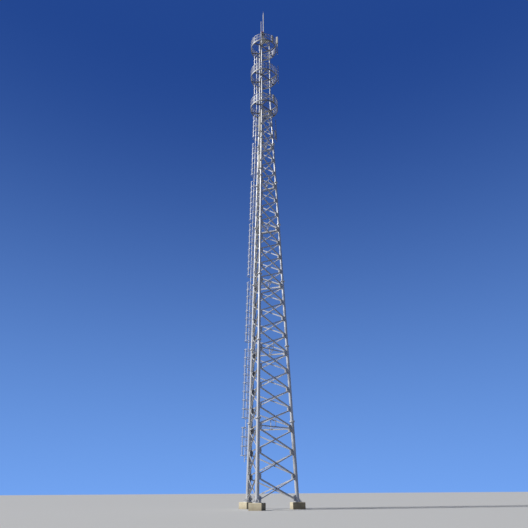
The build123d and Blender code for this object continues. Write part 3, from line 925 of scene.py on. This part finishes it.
def panel(bm, brackets, place, middle_y, hand, low, high, width, depth):
    """Adds one cover with the seams of its end caps, and its brackets back to the pole."""
    half = width / 2
    shell = block(bm, place, (-half, middle_y - depth / 2, low), (half, middle_y + depth / 2, high))
    soften(bm, shell, cover_round)
    for end in (low + cap_seam, high - cap_seam):
        band = block(
            bm,
            place,
            (-half + seam_sunk, middle_y - depth / 2 + seam_sunk, end - seam_half),
            (half - seam_sunk, middle_y + depth / 2 - seam_sunk, end + seam_half),
        )
        soften(bm, band, seam_round)
    near = middle_y - hand * depth / 2
    far = near - hand * bracket_reach
    for z in (low + bracket_low, high - bracket_high):
        block(
            brackets,
            place,
            (-bracket_half, min(near, far), z),
            (bracket_half, max(near, far), z + bracket_height),
        )


covers, holders = bmesh.new(), bmesh.new()
stand_off = s * 40
leg_panels = (
    (-1, 24600, 25950, 200, 110),
    (-1, 28450, 30100, 200, 110),
    (1, 28920, 29640, 160, 90),
)
for (hand, low, high, width, depth), (leg_number, _, _, _, out) in zip(leg_panels, leg_poles):
    middle = -s * out + hand * (pole_radius + stand_off + s * depth / 2)
    start, end = up_leg(s * low), up_leg(s * low) + s * (high - low)
    leg = legs[leg_number]
    panel(covers, holders, leg, middle, hand, start, end, s * width, s * depth)
top_panel_width = s * 190
top_panel_depth = s * 100
top_panel_low = deck_heights[2] + s * 950
top_panel_high = top_panel_low + s * 950
panel(
    covers,
    holders,
    pole_place,
    -(pole_radius + stand_off + top_panel_depth / 2),
    -1,
    top_panel_low,
    top_panel_high,
    top_panel_width,
    top_panel_depth,
)
keep(covers, "panel_covers", cover, "antenna_cover", "antenna_panels")
keep(holders, "panel_brackets", bolt_zinc, "galvanised_steel")
rail_cover_half = s * 85
rail_cover_deep = s * 40
rail_cover_round = s * 14
rail_covers = bmesh.new()
for z in (deck_heights[0], deck_heights[2]):
    spot = axis_foot + heading(-30) * (rail_outer + rail_cover_deep)
    shell = block(
        rail_covers,
        standing(spot, heading(60), upwards),
        (-rail_cover_half, -rail_cover_deep, z),
        (rail_cover_half, rail_cover_deep, z + rail_height),
    )
    soften(rail_covers, shell, rail_cover_round)
keep(rail_covers, "railing_covers", cover, "antenna_cover", "railing_panels")

# Head of the shaft: a triangular steel plate closes the three tubes and carries the lightning rod,
# a long thin tube with a drawn point on a square foot.
plate_top = shaft_top + s * 20
conductor_top = s * 44700
conductor_radius = s * 45
point_length = s * 500
point_radius = s * 5
foot_half = s * 110
foot_top = plate_top + s * 20
foot_round = s * 3
foot_hole = s * 82
foot_nut = (s * 30, s * 14, s * 8)
dress("top_plate", brace_zinc)
upright = standing(axis_foot, Vector((1, 0, 0)), upwards)
conductor = bmesh.new()
foot = block(
    conductor, upright, (-foot_half, -foot_half, plate_top), (foot_half, foot_half, foot_top)
)
soften(conductor, foot, foot_round)
shank_top = conductor_top - point_length
rod(conductor, upright, 0, 0, foot_top, shank_top, conductor_radius, 24)
bmesh.ops.create_cone(
    conductor,
    cap_ends=True,
    segments=24,
    radius1=conductor_radius,
    radius2=point_radius,
    depth=point_length,
    matrix=Matrix.Translation(axis_foot + Vector((0, 0, conductor_top - point_length / 2))),
)
for x, y in ((-1, -1), (-1, 1), (1, -1), (1, 1)):
    bolt(conductor, upright, x * foot_hole, y * foot_hole, foot_top, *foot_nut)
keep(conductor, "lightning_conductor", brace_zinc, "galvanised_steel", "lightning_rod")

# Warning lamp: a dark painted drum with cooling fins on a short neck, and a ribbed red lens on its
# sloping top.
lamp_paint, tree, surface, spot = start_finish("lamp_paint", 0.5)
paint = place_effect(
    tree,
    mottling,
    {"Vector": spot},
    {"Broad": 9.0, "Fine": 90.0, "Pale": (0.11, 0.11, 0.12, 1), "Dull": (0.05, 0.05, 0.055, 1)},
)
tree.links.new(paint.outputs["Color"], surface.inputs["Base Color"])
surface.inputs["Coat Weight"].default_value = 0.2
lamp_off = s * 280
lamp_place = standing(axis_foot + Vector((0, -lamp_off, 0)), Vector((1, 0, 0)), upwards)
lamp_radius = s * 200
lamp_base = plate_top + s * 430
lamp_height = s * 330
neck_radius = s * 60
neck_foot_radius = s * 120
neck_foot_top = plate_top + s * 14
neck_bite = s * 10
lamp_hole = s * 92
lamp_nut = (s * 26, s * 12, s * 6)
fin_count = 20
fin_half = s * 4
fin_inner, fin_outer = lamp_radius * 0.91, lamp_radius * 0.985
fin_low, fin_high = lamp_base + s * 66, lamp_base + s * 126
lamp = bmesh.new()


def turned(bm, place, outline, steps):
    """Turns an open outline, which starts and ends on the place's z, to a closed round form."""
    points = points_at(bm, place, outline)
    edges = [bm.edges.new(pair) for pair in zip(points, points[1:])]
    bmesh.ops.spin(
        bm,
        geom=points + edges,
        cent=place.translation,
        axis=place.to_3x3() @ upwards,
        angle=2 * math.pi,
        steps=steps,
        use_merge=True,
        use_duplicate=False,
    )
    bmesh.ops.remove_doubles(bm, verts=bm.verts, dist=s * 0.2)


# each pair: a share of the drum's radius, and a height over its base
drum_outline = (
    (0, 0),
    (0.80, 0),
    (0.96, s * 14),
    (1, s * 34),
    (1, s * 62),
    (0.93, s * 70),
    (0.93, s * 122),
    (1, s * 130),
    (1, s * 152),
    (0.95, s * 168),
    (0.50, s * 318),
    (0.42, lamp_height),
    (0, lamp_height),
)
drum = [(lamp_radius * share, lamp_base + rise) for share, rise in drum_outline]
turned(lamp, lamp_place, drum, 56)
for k in range(fin_count):
    fin = lamp_place @ Matrix.Rotation(2 * math.pi * k / fin_count, 4, "Z")
    block(lamp, fin, (fin_inner, -fin_half, fin_low), (fin_outer, fin_half, fin_high))
foot = rod(lamp, lamp_place, 0, 0, plate_top, neck_foot_top, neck_foot_radius, 32)
soften(lamp, foot, foot_round)
rod(lamp, lamp_place, 0, 0, neck_foot_top, lamp_base + neck_bite, neck_radius, 24)
for k in range(4):
    corner = lamp_place @ Matrix.Rotation(math.radians(45 + 90 * k), 4, "Z")
    bolt(lamp, corner, lamp_hole, 0, neck_foot_top, *lamp_nut)
keep(lamp, "lamp_drum", lamp_paint, "lamp_housing", "lamp_body")

red_lens, tree, surface, spot = start_finish("red_lens", 0.18)
red = place_effect(
    tree,
    mottling,
    {"Vector": spot},
    {"Broad": 12.0, "Fine": 60.0, "Pale": (0.85, 0.08, 0.04, 1), "Dull": (0.66, 0.04, 0.02, 1)},
)
tree.links.new(red.outputs["Color"], surface.inputs["Base Color"])
surface.inputs["Coat Weight"].default_value = 1.0
lens_base = lamp_base + lamp_height
lens_height = s * 140
lens_radius = s * 80
groove_radius = lens_radius * 0.94
lens_ribs = 5
rib_rise = lens_height * 0.74 / lens_ribs
lens_outline = [(0, lens_base), (groove_radius, lens_base)]
for k in range(lens_ribs):
    low = lens_base + rib_rise * k
    lens_outline += [(lens_radius, low + rib_rise * 0.35), (groove_radius, low + rib_rise)]
lens_outline += [(lens_radius * 0.62, lens_base + lens_height * 0.92), (0, lens_base + lens_height)]
lens = bmesh.new()
turned(lens, lamp_place, lens_outline, 40)
keep(lens, "ribbed_lens", red_lens, "lamp_lens", "lamp_lens")

# Whip antenna: a slim upright tube of steel in a thicker socket. Two short arms hold it off the
# front tube of the shaft, near its head.
whip_off = s * 120
whip_radius = s * 30
whip_top = s * 42450
socket_low = shaft_top - s * 350
socket_top = s * 41050
socket_radius = s * 55
socket_round = s * 6
whip_arm_half = s * 25
whip_arm_depth = s * 60
whip_arm_bite = s * 4
whip = bmesh.new()
socket = rod(whip, posts[0], 0, -whip_off, socket_low, socket_top, socket_radius, 24)
soften(whip, socket, socket_round)
rod(whip, posts[0], 0, -whip_off, socket_top, whip_top, whip_radius, 20)
for z in (socket_low, shaft_top - s * 175):
    block(
        whip,
        posts[0],
        (-whip_arm_half, -whip_off, z),
        (whip_arm_half, -shaft_radius + whip_arm_bite, z + whip_arm_depth),
    )
keep(whip, "whip", ladder_zinc, "galvanised_steel", "whip_antenna")

# The studio: a pale level floor and a plain blue backdrop that pales towards the floor, a soft sun
# from the left and in front, and a low fill from all round.
floor_size = 400
floor_mesh = bmesh.new()
bmesh.ops.create_grid(floor_mesh, x_segments=1, y_segments=1, size=floor_size)
mesh = bpy.data.meshes.new("studio_floor")
floor_mesh.to_mesh(mesh)
floor_mesh.free()
floor = bpy.data.objects.new("studio_floor", mesh)
bpy.context.scene.collection.objects.link(floor)
floor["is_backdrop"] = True
floor_paint, tree, surface, spot = start_finish("floor_paint", 0.9)


def as_seen(tree):
    """1 where the eye, a mirror or a glass looks, and 0 for the light that bounces about."""
    ray = put(tree, "ShaderNodeLightPath")
    mirrored = put(
        tree,
        "ShaderNodeMath",
        {0: ray.outputs["Is Camera Ray"], 1: ray.outputs["Is Glossy Ray"]},
        operation="MAXIMUM",
    )
    through = put(
        tree,
        "ShaderNodeMath",
        {0: mirrored.outputs[0], 1: ray.outputs["Is Transmission Ray"]},
        operation="MAXIMUM",
    )
    return through.outputs[0]


floor_tone = put(
    tree,
    "ShaderNodeMix",
    {0: as_seen(tree)},
    {6: (0.15, 0.14, 0.12, 1), 7: (0.66, 0.67, 0.68, 1)},
    data_type="RGBA",
)
tree.links.new(floor_tone.outputs[2], surface.inputs["Base Color"])
surface.inputs["Specular IOR Level"].default_value = 0.2
mesh.materials.append(floor_paint)

sun = bpy.data.lights.new("soft_sun", "SUN")
sun.energy = 3.6
sun.angle = math.radians(9)
sun.color = (1.0, 0.97, 0.92)
sun_object = bpy.data.objects.new("soft_sun", sun)
bpy.context.scene.collection.objects.link(sun_object)
sun_from = Vector((-0.72, -0.42, 0.62))
sun_object.rotation_euler = sun_from.to_track_quat("Z", "Y").to_euler()

studio = bpy.data.worlds.new("studio_backdrop")
bpy.context.scene.world = studio
studio.use_nodes = True
tree = studio.node_tree
outlook = put(tree, "ShaderNodeTexCoord").outputs["Generated"]
climb = put(tree, "ShaderNodeSeparateXYZ", {0: outlook})
lowness = put(
    tree,
    "ShaderNodeMapRange",
    {"Value": climb.outputs["Z"]},
    {"From Min": 0.0, "From Max": 0.75, "To Min": 1.0, "To Max": 0.0},
)
haze = put(tree, "ShaderNodeMath", {0: lowness.outputs[0]}, {1: 1.5}, operation="POWER")
blue = put(
    tree,
    "ShaderNodeMix",
    {0: haze.outputs[0]},
    {6: (0.017, 0.062, 0.275, 1), 7: (0.17, 0.37, 0.87, 1)},
    data_type="RGBA",
)
fill = put(tree, "ShaderNodeBackground", values={"Color": (0.58, 0.70, 0.94, 1), "Strength": 0.1})
backdrop = put(tree, "ShaderNodeBackground", {"Color": blue.outputs[2]}, {"Strength": 1.0})
mixed = put(
    tree, "ShaderNodeMixShader", {0: as_seen(tree), 1: fill.outputs[0], 2: backdrop.outputs[0]}
)
tree.links.new(mixed.outputs[0], tree.nodes["World Output"].inputs["Surface"])

# The camera: it stands near the floor, a little to the right of the front leg, and looks up at the
# tower. Its focal length is given in pixels of the picture, as the view was measured.
picture_width = 528
focal_pixels = 490
film_width = 36
turn, tilt, roll = math.radians(18.4), math.radians(25.04), -0.0070
level_right = Vector((math.cos(turn), math.sin(turn), 0))
forward = Vector(
    (-math.cos(tilt) * math.sin(turn), math.cos(tilt) * math.cos(turn), math.sin(tilt))
)
level_up = level_right.cross(forward)
right = level_right * math.cos(roll) + level_up * math.sin(roll)
camera_data = bpy.data.cameras.new("camera")
camera_data.sensor_width = film_width
camera_data.lens = film_width * focal_pixels / picture_width
camera_data.clip_end = 5 * floor_size
camera = bpy.data.objects.new("camera", camera_data)
bpy.context.scene.collection.objects.link(camera)
camera.matrix_world = standing(Vector((5.2914, -15.1102, 0.4661)), right, -forward)
bpy.context.scene.camera = camera
bpy.context.scene.view_settings.view_transform = "Standard"

low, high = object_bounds()
